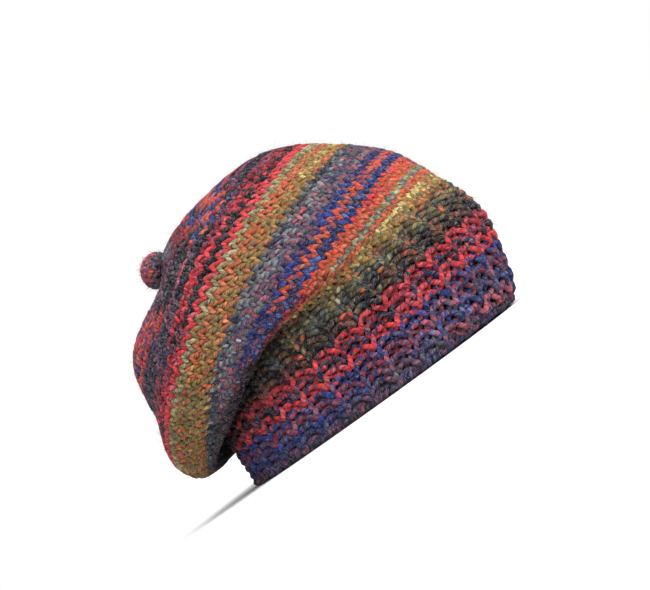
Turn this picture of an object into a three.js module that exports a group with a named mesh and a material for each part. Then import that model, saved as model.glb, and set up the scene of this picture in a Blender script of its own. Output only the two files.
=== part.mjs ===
// Slouchy hand-knitted wool beret, resting on its hem.
// Millimetres. +Z is up, the front is toward -Y, the wearer's right toward -X.
// The hem lies flat at z = 0, and the origin is the middle of the hat's footprint.
import * as THREE from "three";

const BAND_WALL = 6.0;
const CROWN_WALL = 4.6;
const FOLD_REACH = 1.0;
const FOLD_SQUEEZE = 0.7;
const PIECE_GAP = 0.3;

// The slack at the back puts the middle of the whole hat behind the middle of its hem.
const FOOTPRINT_MIDDLE_X = 0.12;
const FOOTPRINT_MIDDLE_Y = 6.68;

// The phase puts the first rib a little to the wearer's left of the middle of the brow.
const RIB_COUNT = 32;
const RIB_PHASE = -0.0253;
const RIB_DEPTH = 1.6;
const COLUMNS_PER_RIB = 4;
const CROWN_COLUMNS = 54;

const JOIN_COURSE = 19.8;
const LAST_COURSE = 61.5;
const DIRECTION_STEP = 0.05;

const KNOB_RADIUS = 12.6;
const KNOB_ROOT_RADIUS = 11.4;
const KNOB_HEIGHT = 17.5;
const KNOB_COLUMNS = 24;
const KNOB_SEAT_COURSE = 60;

// Each row is one knitted round, read from the hem (course 0) to the tip of the crown.
// The reaches are measured ahead of and behind the middle of the hem. The side lift moves
// the two side points off the line from front to back, and the quarter lift the two points
// between side and back, where the slack of the crown folds over the band.
const ROUNDS = [
  { course: 0.0, frontReach: 103.4, frontHeight: 0.0, backReach: 103.4, backHeight: 0.0, halfWidth: 86.0, sideLift: 0.0, quarterLift: 0.0 },
  { course: 2.0, frontReach: 109.3, frontHeight: 6.2, backReach: 102.4, backHeight: 8.0, halfWidth: 86.6, sideLift: 0.0, quarterLift: 0.0 },
  { course: 4.0, frontReach: 113.6, frontHeight: 14.0, backReach: 102.0, backHeight: 16.0, halfWidth: 87.0, sideLift: 0.0, quarterLift: 0.0 },
  { course: 8.0, frontReach: 119.0, frontHeight: 33.0, backReach: 101.5, backHeight: 32.0, halfWidth: 87.5, sideLift: 0.0, quarterLift: 0.0 },
  { course: 12.0, frontReach: 123.6, frontHeight: 54.0, backReach: 99.5, backHeight: 49.0, halfWidth: 87.5, sideLift: -2.0, quarterLift: 0.0 },
  { course: 16.0, frontReach: 121.2, frontHeight: 74.0, backReach: 95.0, backHeight: 64.0, halfWidth: 86.5, sideLift: -6.0, quarterLift: 0.0 },
  { course: 19.5, frontReach: 114.5, frontHeight: 90.5, backReach: 88.0, backHeight: 77.0, halfWidth: 85.5, sideLift: -11.5, quarterLift: 0.0 },
  { course: 20.5, frontReach: 112.1, frontHeight: 94.9, backReach: 88.6, backHeight: 82.2, halfWidth: 88.0, sideLift: -12.6, quarterLift: -2.5 },
  { course: 22.5, frontReach: 109.1, frontHeight: 103.6, backReach: 98.0, backHeight: 78.0, halfWidth: 93.7, sideLift: -15.5, quarterLift: -11.4 },
  { course: 24.5, frontReach: 104.6, frontHeight: 113.0, backReach: 104.5, backHeight: 66.3, halfWidth: 98.5, sideLift: -13.5, quarterLift: -15.2 },
  { course: 26.3, frontReach: 99.9, frontHeight: 122.1, backReach: 107.5, backHeight: 55.1, halfWidth: 102.5, sideLift: -9.2, quarterLift: -15.1 },
  { course: 28.0, frontReach: 94.0, frontHeight: 129.8, backReach: 109.0, backHeight: 44.7, halfWidth: 105.8, sideLift: -2.3, quarterLift: -14.1 },
  { course: 30.0, frontReach: 87.1, frontHeight: 136.8, backReach: 111.0, backHeight: 33.0, halfWidth: 107.7, sideLift: 5.2, quarterLift: -10.0 },
  { course: 32.0, frontReach: 80.1, frontHeight: 143.0, backReach: 117.0, backHeight: 24.6, halfWidth: 105.3, sideLift: 10.1, quarterLift: -5.0 },
  { course: 34.3, frontReach: 70.6, frontHeight: 150.7, backReach: 129.6, backHeight: 24.4, halfWidth: 105.0, sideLift: 12.3, quarterLift: 0.6 },
  { course: 37.0, frontReach: 56.7, frontHeight: 161.2, backReach: 137.0, backHeight: 34.9, halfWidth: 104.0, sideLift: 11.7, quarterLift: 2.0 },
  { course: 39.5, frontReach: 43.2, frontHeight: 168.9, backReach: 134.9, backHeight: 47.3, halfWidth: 102.0, sideLift: 9.0, quarterLift: 0.9 },
  { course: 43.0, frontReach: 25.7, frontHeight: 174.7, backReach: 129.6, backHeight: 65.7, halfWidth: 96.0, sideLift: 4.4, quarterLift: -0.5 },
  { course: 47.0, frontReach: 5.3, frontHeight: 175.6, backReach: 126.9, backHeight: 87.0, halfWidth: 82.0, sideLift: 0.5, quarterLift: 0.1 },
  { course: 50.0, frontReach: -12.5, frontHeight: 174.1, backReach: 122.6, backHeight: 102.2, halfWidth: 69.0, sideLift: -0.3, quarterLift: 0.8 },
  { course: 53.0, frontReach: -29.0, frontHeight: 171.9, backReach: 113.5, backHeight: 116.5, halfWidth: 53.0, sideLift: -1.2, quarterLift: 1.3 },
  { course: 56.0, frontReach: -45.0, frontHeight: 168.4, backReach: 100.0, backHeight: 128.0, halfWidth: 36.0, sideLift: -1.9, quarterLift: 1.0 },
  { course: 58.5, frontReach: -56.5, frontHeight: 164.3, backReach: 86.5, backHeight: 135.2, halfWidth: 21.0, sideLift: -1.5, quarterLift: 0.0 },
  { course: 60.0, frontReach: -63.4, frontHeight: 161.0, backReach: 78.6, backHeight: 140.0, halfWidth: 13.0, sideLift: 0.0, quarterLift: 0.0 },
  { course: 61.5, frontReach: -69.2, frontHeight: 152.9, backReach: 72.8, backHeight: 148.1, halfWidth: 3.0, sideLift: 0.0, quarterLift: 0.0 },
];

// Soft dents and puffs of the outer face, given by where they are deepest and how far they
// spread in courses and in radians of turn. A negative depth is a puff.
const DENTS = [
  { course: 53.6, turn: 1.62, depth: 8.2, courseSpan: 4.1, turnSpan: 0.56 },
  { course: 54.5, turn: 4.63, depth: 5.5, courseSpan: 3.6, turnSpan: 0.62 },
  { course: 49.5, turn: 2.45, depth: -2.2, courseSpan: 4.0, turnSpan: 0.34 },
  { course: 43.0, turn: 1.15, depth: -1.8, courseSpan: 4.5, turnSpan: 0.40 },
  { course: 33.0, turn: 0.35, depth: -1.4, courseSpan: 4.0, turnSpan: 0.40 },
  { course: 37.0, turn: 5.30, depth: 2.4, courseSpan: 4.5, turnSpan: 0.40 },
  { course: 34.0, turn: 4.20, depth: -2.6, courseSpan: 4.0, turnSpan: 0.45 },
];

const BAND_SECTIONS = [0, 1, 3, 6, 9, 12, 15, 18, JOIN_COURSE];
const CROWN_SECTIONS = [
  JOIN_COURSE, 20.6, 21.5, 22.5, 23.5, 24.5, 25.5, 26.5, 27.5, 28.5, 29.5, 30.5, 31.5, 32.5,
  33.5, 34.5, 36, 38, 40, 42.5, 45, 47.5, 50, 52.5, 55, 57.5, 60, LAST_COURSE,
];

// Wales stand evenly along the oval band; the rounder crown needs no such shift.
const OVAL_SHIFT = 0.047;
const SHIFT_FADE_START = 20;
const SHIFT_FADE_END = 32;

const KNOB_PROFILE = [
  { rise: 0.0, spread: KNOB_ROOT_RADIUS },
  { rise: 0.16, spread: 12.2 },
  { rise: 0.34, spread: KNOB_RADIUS },
  { rise: 0.54, spread: 11.9 },
  { rise: 0.73, spread: 10.0 },
  { rise: 0.88, spread: 6.9 },
  { rise: 0.97, spread: 3.2 },
];

// Cubic interpolation of every column of the table, smooth through each row.
function roundAt(course) {
  let i = 0;
  while (i < ROUNDS.length - 2 && ROUNDS[i + 1].course <= course) {
    i += 1;
  }
  const before = ROUNDS[Math.max(i - 1, 0)];
  const start = ROUNDS[i];
  const end = ROUNDS[i + 1];
  const after = ROUNDS[Math.min(i + 2, ROUNDS.length - 1)];
  const span = end.course - start.course;
  const t = (course - start.course) / span;
  const result = {};
  for (const key of Object.keys(start)) {
    const startSlope = (end[key] - before[key]) / (end.course - before.course);
    const endSlope = (after[key] - start[key]) / (after.course - start.course);
    result[key] = (2 * t ** 3 - 3 * t ** 2 + 1) * start[key]
      + (t ** 3 - 2 * t ** 2 + t) * span * startSlope
      + (-2 * t ** 3 + 3 * t ** 2) * end[key]
      + (t ** 3 - t ** 2) * span * endSlope;
  }
  return result;
}

function smoothStep(from, to, value) {
  const t = Math.min(Math.max((value - from) / (to - from), 0), 1);
  return t * t * (3 - 2 * t);
}

// A point of the smooth outer face. The turn runs from the front over the wearer's right side.
function smoothPoint(course, turn) {
  const round = roundAt(course);
  const shift = OVAL_SHIFT * (1 - smoothStep(SHIFT_FADE_START, SHIFT_FADE_END, course));
  const angle = turn + shift * Math.sin(2 * turn);
  const cosine = Math.cos(angle);
  const sine = Math.sin(angle);
  const middleReach = (round.frontReach - round.backReach) / 2;
  const middleHeight = (round.frontHeight + round.backHeight) / 2;
  const halfReach = (round.frontReach + round.backReach) / 2;
  const halfHeight = (round.frontHeight - round.backHeight) / 2;
  const halfChord = Math.hypot(halfReach, halfHeight);
  const quarter = cosine < 0 ? 4 * sine ** 2 * cosine ** 2 : 0;
  const lift = round.sideLift * sine ** 2 + round.quarterLift * quarter;
  return new THREE.Vector3(
    -round.halfWidth * sine,
    -(middleReach + halfReach * cosine - (halfHeight / halfChord) * lift),
    middleHeight + halfHeight * cosine + (halfReach / halfChord) * lift,
  );
}

// Unit directions at a point of a face: outward, and upward along the wale.
function directionsOf(pointAt, course, turn) {
  const low = Math.max(course - DIRECTION_STEP, 0);
  const high = Math.min(course + DIRECTION_STEP, LAST_COURSE);
  const along = pointAt(high, turn).sub(pointAt(low, turn)).normalize();
  const around = pointAt(course, turn + DIRECTION_STEP)
    .sub(pointAt(course, turn - DIRECTION_STEP))
    .normalize();
  const outward = new THREE.Vector3().crossVectors(along, around).normalize();
  return { along, outward };
}

function dentDepth(course, turn) {
  let depth = 0;
  for (const dent of DENTS) {
    const courses = (course - dent.course) / dent.courseSpan;
    const turns = (turn - dent.turn) / dent.turnSpan;
    depth += dent.depth * Math.exp(-(courses ** 2) - turns ** 2);
  }
  return depth;
}

// A point of the outer face with its dents and puffs.
function outerPoint(course, turn) {
  const { outward } = directionsOf(smoothPoint, course, turn);
  return smoothPoint(course, turn).addScaledVector(outward, -dentDepth(course, turn));
}

function faceDirections(course, turn) {
  return directionsOf(outerPoint, course, turn);
}

// Closed wall between two families of rings, given as outer and inner rows of points.
function wallGeometry(outerRings, innerRings, closedAtEnd) {
  const columns = outerRings[0].length;
  const loop = outerRings.concat(innerRings.slice().reverse());
  const positions = loop.flat().flatMap((point) => [point.x, point.y, point.z]);
  const index = [];
  const outerCount = outerRings.length;
  const total = loop.length;
  for (let r = 0; r < total; r += 1) {
    const next = (r + 1) % total;
    if (closedAtEnd && r === outerCount - 1) {
      continue;
    }
    for (let c = 0; c < columns; c += 1) {
      const d = (c + 1) % columns;
      index.push(r * columns + c, next * columns + d, r * columns + d);
      index.push(r * columns + c, next * columns + c, next * columns + d);
    }
  }
  if (closedAtEnd) {
    addCap(positions, index, outerCount - 1, columns, false);
    addCap(positions, index, outerCount, columns, true);
  }
  const geometry = new THREE.BufferGeometry();
  geometry.setAttribute("position", new THREE.Float32BufferAttribute(positions, 3));
  geometry.setIndex(index);
  return geometry;
}

// A fan from a new middle point to one ring of points.
function addCap(positions, index, ring, columns, reversed) {
  const middle = [0, 0, 0];
  for (let c = 0; c < columns; c += 1) {
    for (let axis = 0; axis < 3; axis += 1) {
      middle[axis] += positions[(ring * columns + c) * 3 + axis] / columns;
    }
  }
  const centre = positions.length / 3;
  positions.push(...middle);
  for (let c = 0; c < columns; c += 1) {
    const first = ring * columns + c;
    const second = ring * columns + ((c + 1) % columns);
    index.push(centre, reversed ? first : second, reversed ? second : first);
  }
}

function evenTurns(columns) {
  return Array.from({ length: columns }, (_, c) => (2 * Math.PI * c) / columns);
}

function bandGeometry() {
  const columns = evenTurns(RIB_COUNT * COLUMNS_PER_RIB).map((turn) => turn + RIB_PHASE);
  const outerRings = [];
  const innerRings = [];
  for (const course of BAND_SECTIONS) {
    const outerRing = [];
    const innerRing = [];
    for (const turn of columns) {
      const { outward } = faceDirections(course, turn);
      if (course === 0) {
        outward.setZ(0).normalize();
      }
      const hollow = (RIB_DEPTH * (1 - Math.cos(RIB_COUNT * (turn - RIB_PHASE)))) / 2;
      const face = outerPoint(course, turn);
      outerRing.push(face.clone().addScaledVector(outward, -hollow));
      innerRing.push(face.clone().addScaledVector(outward, -BAND_WALL));
    }
    outerRings.push(outerRing);
    innerRings.push(innerRing);
  }
  return wallGeometry(outerRings, innerRings, false);
}

// The crown's wall, squeezed where the cloth folds so tightly that its inner face would cross.
function crownWall(course, turn) {
  const before = Math.max(course - FOLD_REACH, JOIN_COURSE);
  const after = Math.min(course + FOLD_REACH, LAST_COURSE);
  const lower = faceDirections(before, turn).outward;
  const upper = faceDirections(after, turn).outward;
  const around = outerPoint(course, turn + DIRECTION_STEP)
    .sub(outerPoint(course, turn - DIRECTION_STEP))
    .normalize();
  const across = outerPoint(after, turn).sub(outerPoint(before, turn));
  across.addScaledVector(around, -across.dot(around));
  if (across.dot(upper.clone().sub(lower)) <= 0) {
    return CROWN_WALL;
  }
  const radius = across.length() / Math.max(lower.angleTo(upper), 0.001);
  return Math.min(CROWN_WALL, FOLD_SQUEEZE * radius);
}

function crownGeometry() {
  const outerRings = [];
  const innerRings = [];
  for (const course of CROWN_SECTIONS) {
    const outerRing = [];
    const innerRing = [];
    for (const turn of evenTurns(CROWN_COLUMNS)) {
      const { along, outward } = faceDirections(course, turn);
      const face = outerPoint(course, turn);
      if (course === JOIN_COURSE) {
        face.addScaledVector(along, PIECE_GAP);
      }
      outerRing.push(face);
      innerRing.push(face.clone().addScaledVector(outward, -crownWall(course, turn)));
    }
    outerRings.push(outerRing);
    innerRings.push(innerRing);
  }
  return wallGeometry(outerRings, innerRings, true);
}

function knobGeometry() {
  const tip = outerPoint(LAST_COURSE, 0).add(outerPoint(LAST_COURSE, Math.PI)).multiplyScalar(0.5);
  const front = outerPoint(KNOB_SEAT_COURSE, 0);
  const back = outerPoint(KNOB_SEAT_COURSE, Math.PI);
  const chord = front.clone().sub(back).normalize();
  const side = new THREE.Vector3(-1, 0, 0);
  const axis = new THREE.Vector3().crossVectors(side, chord).normalize();
  const positions = [];
  const index = [];
  for (const { rise, spread } of KNOB_PROFILE) {
    for (const turn of evenTurns(KNOB_COLUMNS)) {
      const point = tip.clone()
        .addScaledVector(axis, PIECE_GAP + rise * KNOB_HEIGHT)
        .addScaledVector(chord, spread * Math.cos(turn))
        .addScaledVector(side, spread * Math.sin(turn));
      positions.push(point.x, point.y, point.z);
    }
  }
  const last = KNOB_PROFILE.length - 1;
  for (let r = 0; r < last; r += 1) {
    for (let c = 0; c < KNOB_COLUMNS; c += 1) {
      const d = (c + 1) % KNOB_COLUMNS;
      const low = r * KNOB_COLUMNS;
      const high = (r + 1) * KNOB_COLUMNS;
      index.push(low + c, high + d, low + d);
      index.push(low + c, high + c, high + d);
    }
  }
  addCap(positions, index, 0, KNOB_COLUMNS, true);
  addCap(positions, index, last, KNOB_COLUMNS, false);
  const geometry = new THREE.BufferGeometry();
  geometry.setAttribute("position", new THREE.Float32BufferAttribute(positions, 3));
  geometry.setIndex(index);
  return geometry;
}

function piece(name, geometry, colour) {
  const flat = geometry.toNonIndexed();
  flat.translate(-FOOTPRINT_MIDDLE_X, -FOOTPRINT_MIDDLE_Y, 0);
  flat.computeVertexNormals();
  const wool = new THREE.MeshStandardMaterial({ color: colour, roughness: 0.9, metalness: 0 });
  const mesh = new THREE.Mesh(flat, wool);
  mesh.name = name;
  return mesh;
}

const beret = new THREE.Group();
beret.name = "slouchy_knit_beret";
beret.add(piece("ribbed_band", bandGeometry(), 0x5a4048));
beret.add(piece("crown", crownGeometry(), 0x8a5a4a));
beret.add(piece("top_knob", knobGeometry(), 0x6e4a52));

export default beret;
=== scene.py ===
"""Slouchy hand-knitted beret, built round its packed shells.

Every round of knitting is one thick two-ply yarn. It is swept along its loops just under the
hat's outer face, so that their crests come out at about that face. Lengths are millimetres
until a mesh is made, and metres in the meshes. A turn is an angle in radians, from the front
over the wearer's right side. A course tells how far along the face a ring lies from the hem,
with one course to a round of the crown.
"""

import math

import bpy
import numpy as np
from mathutils import Matrix, Vector


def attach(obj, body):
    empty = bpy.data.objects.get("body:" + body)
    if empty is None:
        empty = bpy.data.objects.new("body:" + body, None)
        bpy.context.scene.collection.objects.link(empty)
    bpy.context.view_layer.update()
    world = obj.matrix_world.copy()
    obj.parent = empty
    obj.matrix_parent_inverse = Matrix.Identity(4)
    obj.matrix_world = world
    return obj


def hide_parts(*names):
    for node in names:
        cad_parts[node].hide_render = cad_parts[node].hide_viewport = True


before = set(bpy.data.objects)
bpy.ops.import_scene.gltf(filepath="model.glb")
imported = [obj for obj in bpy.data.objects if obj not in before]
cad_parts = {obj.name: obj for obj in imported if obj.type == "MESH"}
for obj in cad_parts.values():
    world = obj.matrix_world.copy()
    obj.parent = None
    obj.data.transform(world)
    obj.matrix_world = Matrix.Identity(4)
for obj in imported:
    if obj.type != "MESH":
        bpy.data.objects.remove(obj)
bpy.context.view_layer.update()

MM = 0.001
TAU = 2 * math.pi
random_numbers = np.random.default_rng(7)

# The outer face of the hat, round by round. The reaches are ahead of and behind the middle of
# the hem. The side lift moves the side points off the line from front to back, and the quarter
# lift the points between side and back, where the slack folds over the band. Most of the values
# from course 20.5 to 60 were solved for by two fits, and not chosen by hand.
ROUND_COLUMNS = (
    "course", "front_reach", "front_height", "back_reach", "back_height",
    "half_width", "side_lift", "quarter_lift",
)
ROUNDS = np.array([
    (0.0, 103.4, 0.0, 103.4, 0.0, 86.0, 0.0, 0.0),
    (2.0, 109.3, 6.2, 102.4, 8.0, 86.6, 0.0, 0.0),
    (4.0, 113.6, 14.0, 102.0, 16.0, 87.0, 0.0, 0.0),
    (8.0, 119.0, 33.0, 101.5, 32.0, 87.5, 0.0, 0.0),
    (12.0, 123.6, 54.0, 99.5, 49.0, 87.5, -2.0, 0.0),
    (16.0, 121.2, 74.0, 95.0, 64.0, 86.5, -6.0, 0.0),
    (19.5, 114.5, 90.5, 88.0, 77.0, 85.5, -11.5, 0.0),
    (20.5, 112.1, 94.9, 88.6, 82.2, 88.0, -12.6, -2.5),
    (22.5, 109.1, 103.6, 98.0, 78.0, 93.7, -15.5, -11.4),
    (24.5, 104.6, 113.0, 104.5, 66.3, 98.5, -13.5, -15.2),
    (26.3, 99.9, 122.1, 107.5, 55.1, 102.5, -9.2, -15.1),
    (28.0, 94.0, 129.8, 109.0, 44.7, 105.8, -2.3, -14.1),
    (30.0, 87.1, 136.8, 111.0, 33.0, 107.7, 5.2, -10.0),
    (32.0, 80.1, 143.0, 117.0, 24.6, 105.3, 10.1, -5.0),
    (34.3, 70.6, 150.7, 129.6, 24.4, 105.0, 12.3, 0.6),
    (37.0, 56.7, 161.2, 137.0, 34.9, 104.0, 11.7, 2.0),
    (39.5, 43.2, 168.9, 134.9, 47.3, 102.0, 9.0, 0.9),
    (43.0, 25.7, 174.7, 129.6, 65.7, 96.0, 4.4, -0.5),
    (47.0, 5.3, 175.6, 126.9, 87.0, 82.0, 0.5, 0.1),
    (50.0, -12.5, 174.1, 122.6, 102.2, 69.0, -0.3, 0.8),
    (53.0, -29.0, 171.9, 113.5, 116.5, 53.0, -1.2, 1.3),
    (56.0, -45.0, 168.4, 100.0, 128.0, 36.0, -1.9, 1.0),
    (58.5, -56.5, 164.3, 86.5, 135.2, 21.0, -1.5, 0.0),
    (60.0, -63.4, 161.0, 78.6, 140.0, 13.0, 0.0, 0.0),
    (61.5, -69.2, 152.9, 72.8, 148.1, 3.0, 0.0, 0.0),
])
LAST_COURSE = 61.5
TIP_EDGE_COURSE = 60.0
JOIN_COURSE = 19.8

# Soft dents, and puffs where the depth is negative: course, turn, depth, course span, turn span.
DENTS = (
    (53.6, 1.62, 8.2, 4.1, 0.56),
    (54.5, 4.63, 5.5, 3.6, 0.62),
    (49.5, 2.45, -2.2, 4.0, 0.34),
    (43.0, 1.15, -1.8, 4.5, 0.40),
    (33.0, 0.35, -1.4, 4.0, 0.40),
    (37.0, 5.30, 2.4, 4.5, 0.40),
    (34.0, 4.20, -2.6, 4.0, 0.45),
)

FOOTPRINT_MIDDLE = np.array((0.12, 6.68, 0.0))
OVAL_SHIFT = 0.047
SHIFT_FADE = (20, 32)

# The band: one knit and one purl stitch to a rib, fourteen rounds from hem to join.
RIB_COUNT = 32
RIB_PHASE = -0.0253
RIB_LEAN = math.radians(0.55)
RIB_LEAN_MIDDLE = 11.0
RIB_SHARPNESS = 1.6
RIB_RISE = 1.1
RIB_SINK = 0.7
RIB_LOOP_RISE = 1.45
RIB_LOOP_HEIGHT = 0.74
KNIT_LOOP_EXTRA = 0.16
BAND_ROWS = 14
BAND_FIRST_COURSE = 0.9
BAND_ROW_PITCH = 1.42
BAND_LOWEST_COURSE = 0.3
BAND_TUCK = 1.0
BAND_SHEAR = 0.13
BAND_WANDER = 0.2

# The band's middle rounds lie higher at the front and a little lower at the back.
FRONT_LIFT = 2.7
BACK_DROP = 0.65
FRONT_LIFT_TURNS = (math.radians(20), math.radians(110))
LIFT_START_ROWS = (-0.5, 4.5)
LIFT_END_ROWS = (8.5, 14.5)

# The cast-on edge is one yarn that coils round the hem.
HEM_COILS = 4 * RIB_COUNT
HEM_COIL_SAMPLES = 8
HEM_COIL_RADIUS = 1.15
HEM_COIL_PER_COURSE = 3.2
HEM_COURSE = 0.75
HEM_RISE = 0.2
HEM_YARN_SHARE = 0.98

# The crown: its rounds are numbered from the join on, and lose stitches in sevens.
CROWN_FIRST_ROW = 20
CROWN_END_ROW = 60
CROWN_PARTS = (("low", CROWN_FIRST_ROW, 30), ("middle", 30, 40), ("high", 40, CROWN_END_ROW))
CROWN_ROW_MIDDLE = 0.2
CROWN_STITCHES = 98
CROWN_CROWDING = 0.09
CROWN_SECTIONS = 7
CROWN_STITCH_WIDTH = 7.4
CROWN_TUCK = 0.3
CROWN_WANDER = 0.16
FIRST_DECREASE = 40

# The knob: a little ball of a few rounds, with its middle above the crown's tip.
KNOB_RADIUS = 12.4
KNOB_RISE = 11.0
KNOB_MIDDLE = 5.6
KNOB_START = -0.45
KNOB_ROWS = 5
KNOB_STITCH_WIDTH = 7.2
KNOB_FEWEST_STITCHES = 4
KNOB_ROW_SHIFT = 0.37
KNOB_TOP_GAP = 0.25
KNOB_LOOP_SHARE = 0.9
KNOB_YARN_RISE = 0.3
KNOB_YARN_SHARE = 0.97

# The yarn and its loops. The mesh depth is how far a loop's middle line lies under the face.
YARN_RADIUS = 1.66
BAND_YARN_RADIUS = 1.9
YARN_SIDES = 6
PLY_PITCH = 6.0
LOOP_SAMPLES = 14
LOOP_LEAN = 0.31
LOOP_HEIGHT = 0.86
LOOP_RISE = 1.3
MESH_DEPTH = 2.75
ACROSS_WANDER = 0.04
HEIGHT_WANDER = 0.07
THICKNESS_WANDER = 0.06
SAMPLES_PER_THICKNESS_KNOT = 9
FEWEST_KNOTS = 6

# The web behind the loops: a dark sheet whose darkness is painted shade in the gaps between them.
WEB_THICKNESS = 0.5
WEB_FLOOR_GAP = 0.3
WEB_LIGHT = 0.1
WEB_OVERLAP = 0.4
WEB_COLUMNS = 96
BAND_WEB_DEPTH = 5.0
BAND_WEB_START = 0.6
BAND_WEB_RINGS = 21
CROWN_WEB_DEPTH = 3.9
CROWN_WEB_RINGS = 64
KNOB_WEB_DEPTH = 3.9
KNOB_WEB_START = 0.1
KNOB_WEB_TOP_GAP = 0.3
KNOB_WEB_RINGS = 12
KNOB_WEB_COLUMNS = 24

# The loose fibres. The reach is the shape and scale of a gamma distribution.
BAND_FIBRES = 8000
CROWN_FIBRES = 16000
KNOB_FIBRES = 1200
FIBRE_SIDES = 3
FIBRE_LEAN = 0.75
FIBRE_SWING = 1.25
FIBRE_ROOT_SHARE = 0.9
FIBRE_OUTWARD = 0.8
FIBRE_SIDEWAYS = 0.5
FIBRE_CURL = 0.9
FIBRE_REACH = (5.0, 0.62)
FIBRE_RADIUS = (0.035, 0.07)
FIBRE_TAPER = 0.8
FIBRE_SKEW = 0.3
FIBRE_FLOOR_GAP = 0.1

SHORTEST_LENGTH = 1e-9
FACE_STEP = 0.05
PERIMETER_SAMPLES = 181


def smooth_step(start, end, value):
    """From 0 at the start to 1 at the end, level at both."""
    t = np.clip((value - start) / (end - start), 0, 1)
    return t * t * (3 - 2 * t)


def round_at(course):
    """Every column of ROUNDS, interpolated smoothly at each course of an array."""
    courses = ROUNDS[:, 0]
    i = np.clip(np.searchsorted(courses, course, side="right") - 1, 0, len(courses) - 2)
    before = ROUNDS[np.maximum(i - 1, 0)]
    start = ROUNDS[i]
    end = ROUNDS[i + 1]
    after = ROUNDS[np.minimum(i + 2, len(courses) - 1)]
    span = (end[:, 0] - start[:, 0])[:, None]
    t = (course[:, None] - start[:, :1]) / span
    start_slope = (end - before) / (end[:, :1] - before[:, :1])
    end_slope = (after - start) / (after[:, :1] - start[:, :1])
    values = (2 * t ** 3 - 3 * t ** 2 + 1) * start
    values += (t ** 3 - 2 * t ** 2 + t) * span * start_slope
    values += (-2 * t ** 3 + 3 * t ** 2) * end
    values += (t ** 3 - t ** 2) * span * end_slope
    return dict(zip(ROUND_COLUMNS, values.T))


def smooth_point(course, turn):
    """Points of the outer face without its dents."""
    r = round_at(course)
    angle = turn + OVAL_SHIFT * (1 - smooth_step(*SHIFT_FADE, course)) * np.sin(2 * turn)
    cosine = np.cos(angle)
    sine = np.sin(angle)
    half_reach = (r["front_reach"] + r["back_reach"]) / 2
    half_height = (r["front_height"] - r["back_height"]) / 2
    half_chord = np.hypot(half_reach, half_height)
    quarter = np.where(cosine < 0, 4 * sine ** 2 * cosine ** 2, 0)
    lift = r["side_lift"] * sine ** 2 + r["quarter_lift"] * quarter
    x = -r["half_width"] * sine
    y = (r["back_reach"] - r["front_reach"]) / 2 - half_reach * cosine + half_height / half_chord * lift
    z = (r["front_height"] + r["back_height"]) / 2 + half_height * cosine + half_reach / half_chord * lift
    return np.stack((x, y, z), axis=1) - FOOTPRINT_MIDDLE


def unit(vectors):
    lengths = np.linalg.norm(vectors, axis=1, keepdims=True)
    return vectors / np.maximum(lengths, SHORTEST_LENGTH)


def outward_of(point_at, course, turn):
    """The direction straight out of a face at each of its points."""
    low = np.maximum(course - FACE_STEP, 0)
    high = np.minimum(course + FACE_STEP, LAST_COURSE)
    along = unit(point_at(high, turn) - point_at(low, turn))
    around = unit(point_at(course, turn + FACE_STEP) - point_at(course, turn - FACE_STEP))
    return unit(np.cross(along, around))


def outer_point(course, turn):
    """Points of the outer face with its dents and puffs."""
    depth = np.zeros(len(course))
    whole = np.mod(turn, TAU)
    for dent_course, dent_turn, dent_depth, course_span, turn_span in DENTS:
        courses = (course - dent_course) / course_span
        turns = (whole - dent_turn) / turn_span
        depth += dent_depth * np.exp(-courses ** 2 - turns ** 2)
    return smooth_point(course, turn) - depth[:, None] * outward_of(smooth_point, course, turn)


def knob_point(row, turn):
    """Points of the knob's face, from its root to its top, by round of its own knitting."""
    tip = outer_point(np.full(2, LAST_COURSE), np.array((0, math.pi))).mean(axis=0)
    front, back = outer_point(np.full(2, TIP_EDGE_COURSE), np.array((0, math.pi)))
    chord = (front - back) / np.linalg.norm(front - back)
    side = np.array((-1.0, 0.0, 0.0))
    axis = np.cross(side, chord)
    angle = KNOB_START + (math.pi / 2 - KNOB_START) * row / KNOB_ROWS
    rise = (KNOB_MIDDLE + KNOB_RISE * np.sin(angle))[:, None]
    spread = (KNOB_RADIUS * np.cos(angle))[:, None]
    return tip + rise * axis + spread * (np.cos(turn)[:, None] * chord + np.sin(turn)[:, None] * side)


def perimeter_at(point_at, course):
    turns = np.linspace(0, TAU, PERIMETER_SAMPLES)
    points = point_at(np.full(PERIMETER_SAMPLES, float(course)), turns)
    return np.linalg.norm(np.diff(points, axis=0), axis=1).sum()


def wander(length, knots, size):
    """A closed line of values that runs smoothly between random ones, one to a knot."""
    values = random_numbers.normal(0, size, knots)
    place = np.arange(length) * knots / length
    i = np.floor(place).astype(int)
    t = place - i
    t = t * t * (3 - 2 * t)
    return values[i % knots] * (1 - t) + values[(i + 1) % knots] * t


# Colours of the wool, as display values from 0 to 255.
WOOL = {
    "coral": (214, 60, 66),
    "crimson": (150, 36, 56),
    "dark_red": (104, 34, 40),
    "orange_red": (206, 80, 58),
    "orange": (196, 104, 64),
    "gold": (162, 124, 66),
    "yellow": (220, 198, 118),
    "olive": (126, 112, 68),
    "moss": (80, 84, 64),
    "charcoal": (46, 42, 54),
    "black": (20, 19, 24),
    "slate": (58, 64, 98),
    "grey": (96, 100, 104),
    "light_grey": (142, 146, 152),
    "mauve": (124, 72, 94),
    "pink": (186, 90, 100),
    "purple": (76, 56, 102),
    "blue": (44, 58, 126),
    "light_blue": (86, 108, 166),
    "navy": (32, 38, 80),
    "cream": (168, 162, 122),
    "brown": (108, 68, 50),
}
WOOL_STRENGTH = 0.56


def linear(name):
    """A wool's colour as linear light, by the usual rule for display values."""
    values = np.array(WOOL[name]) / 255
    return WOOL_STRENGTH * np.where(values <= 0.04045, values / 12.92, ((values + 0.055) / 1.055) ** 2.4)
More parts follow.
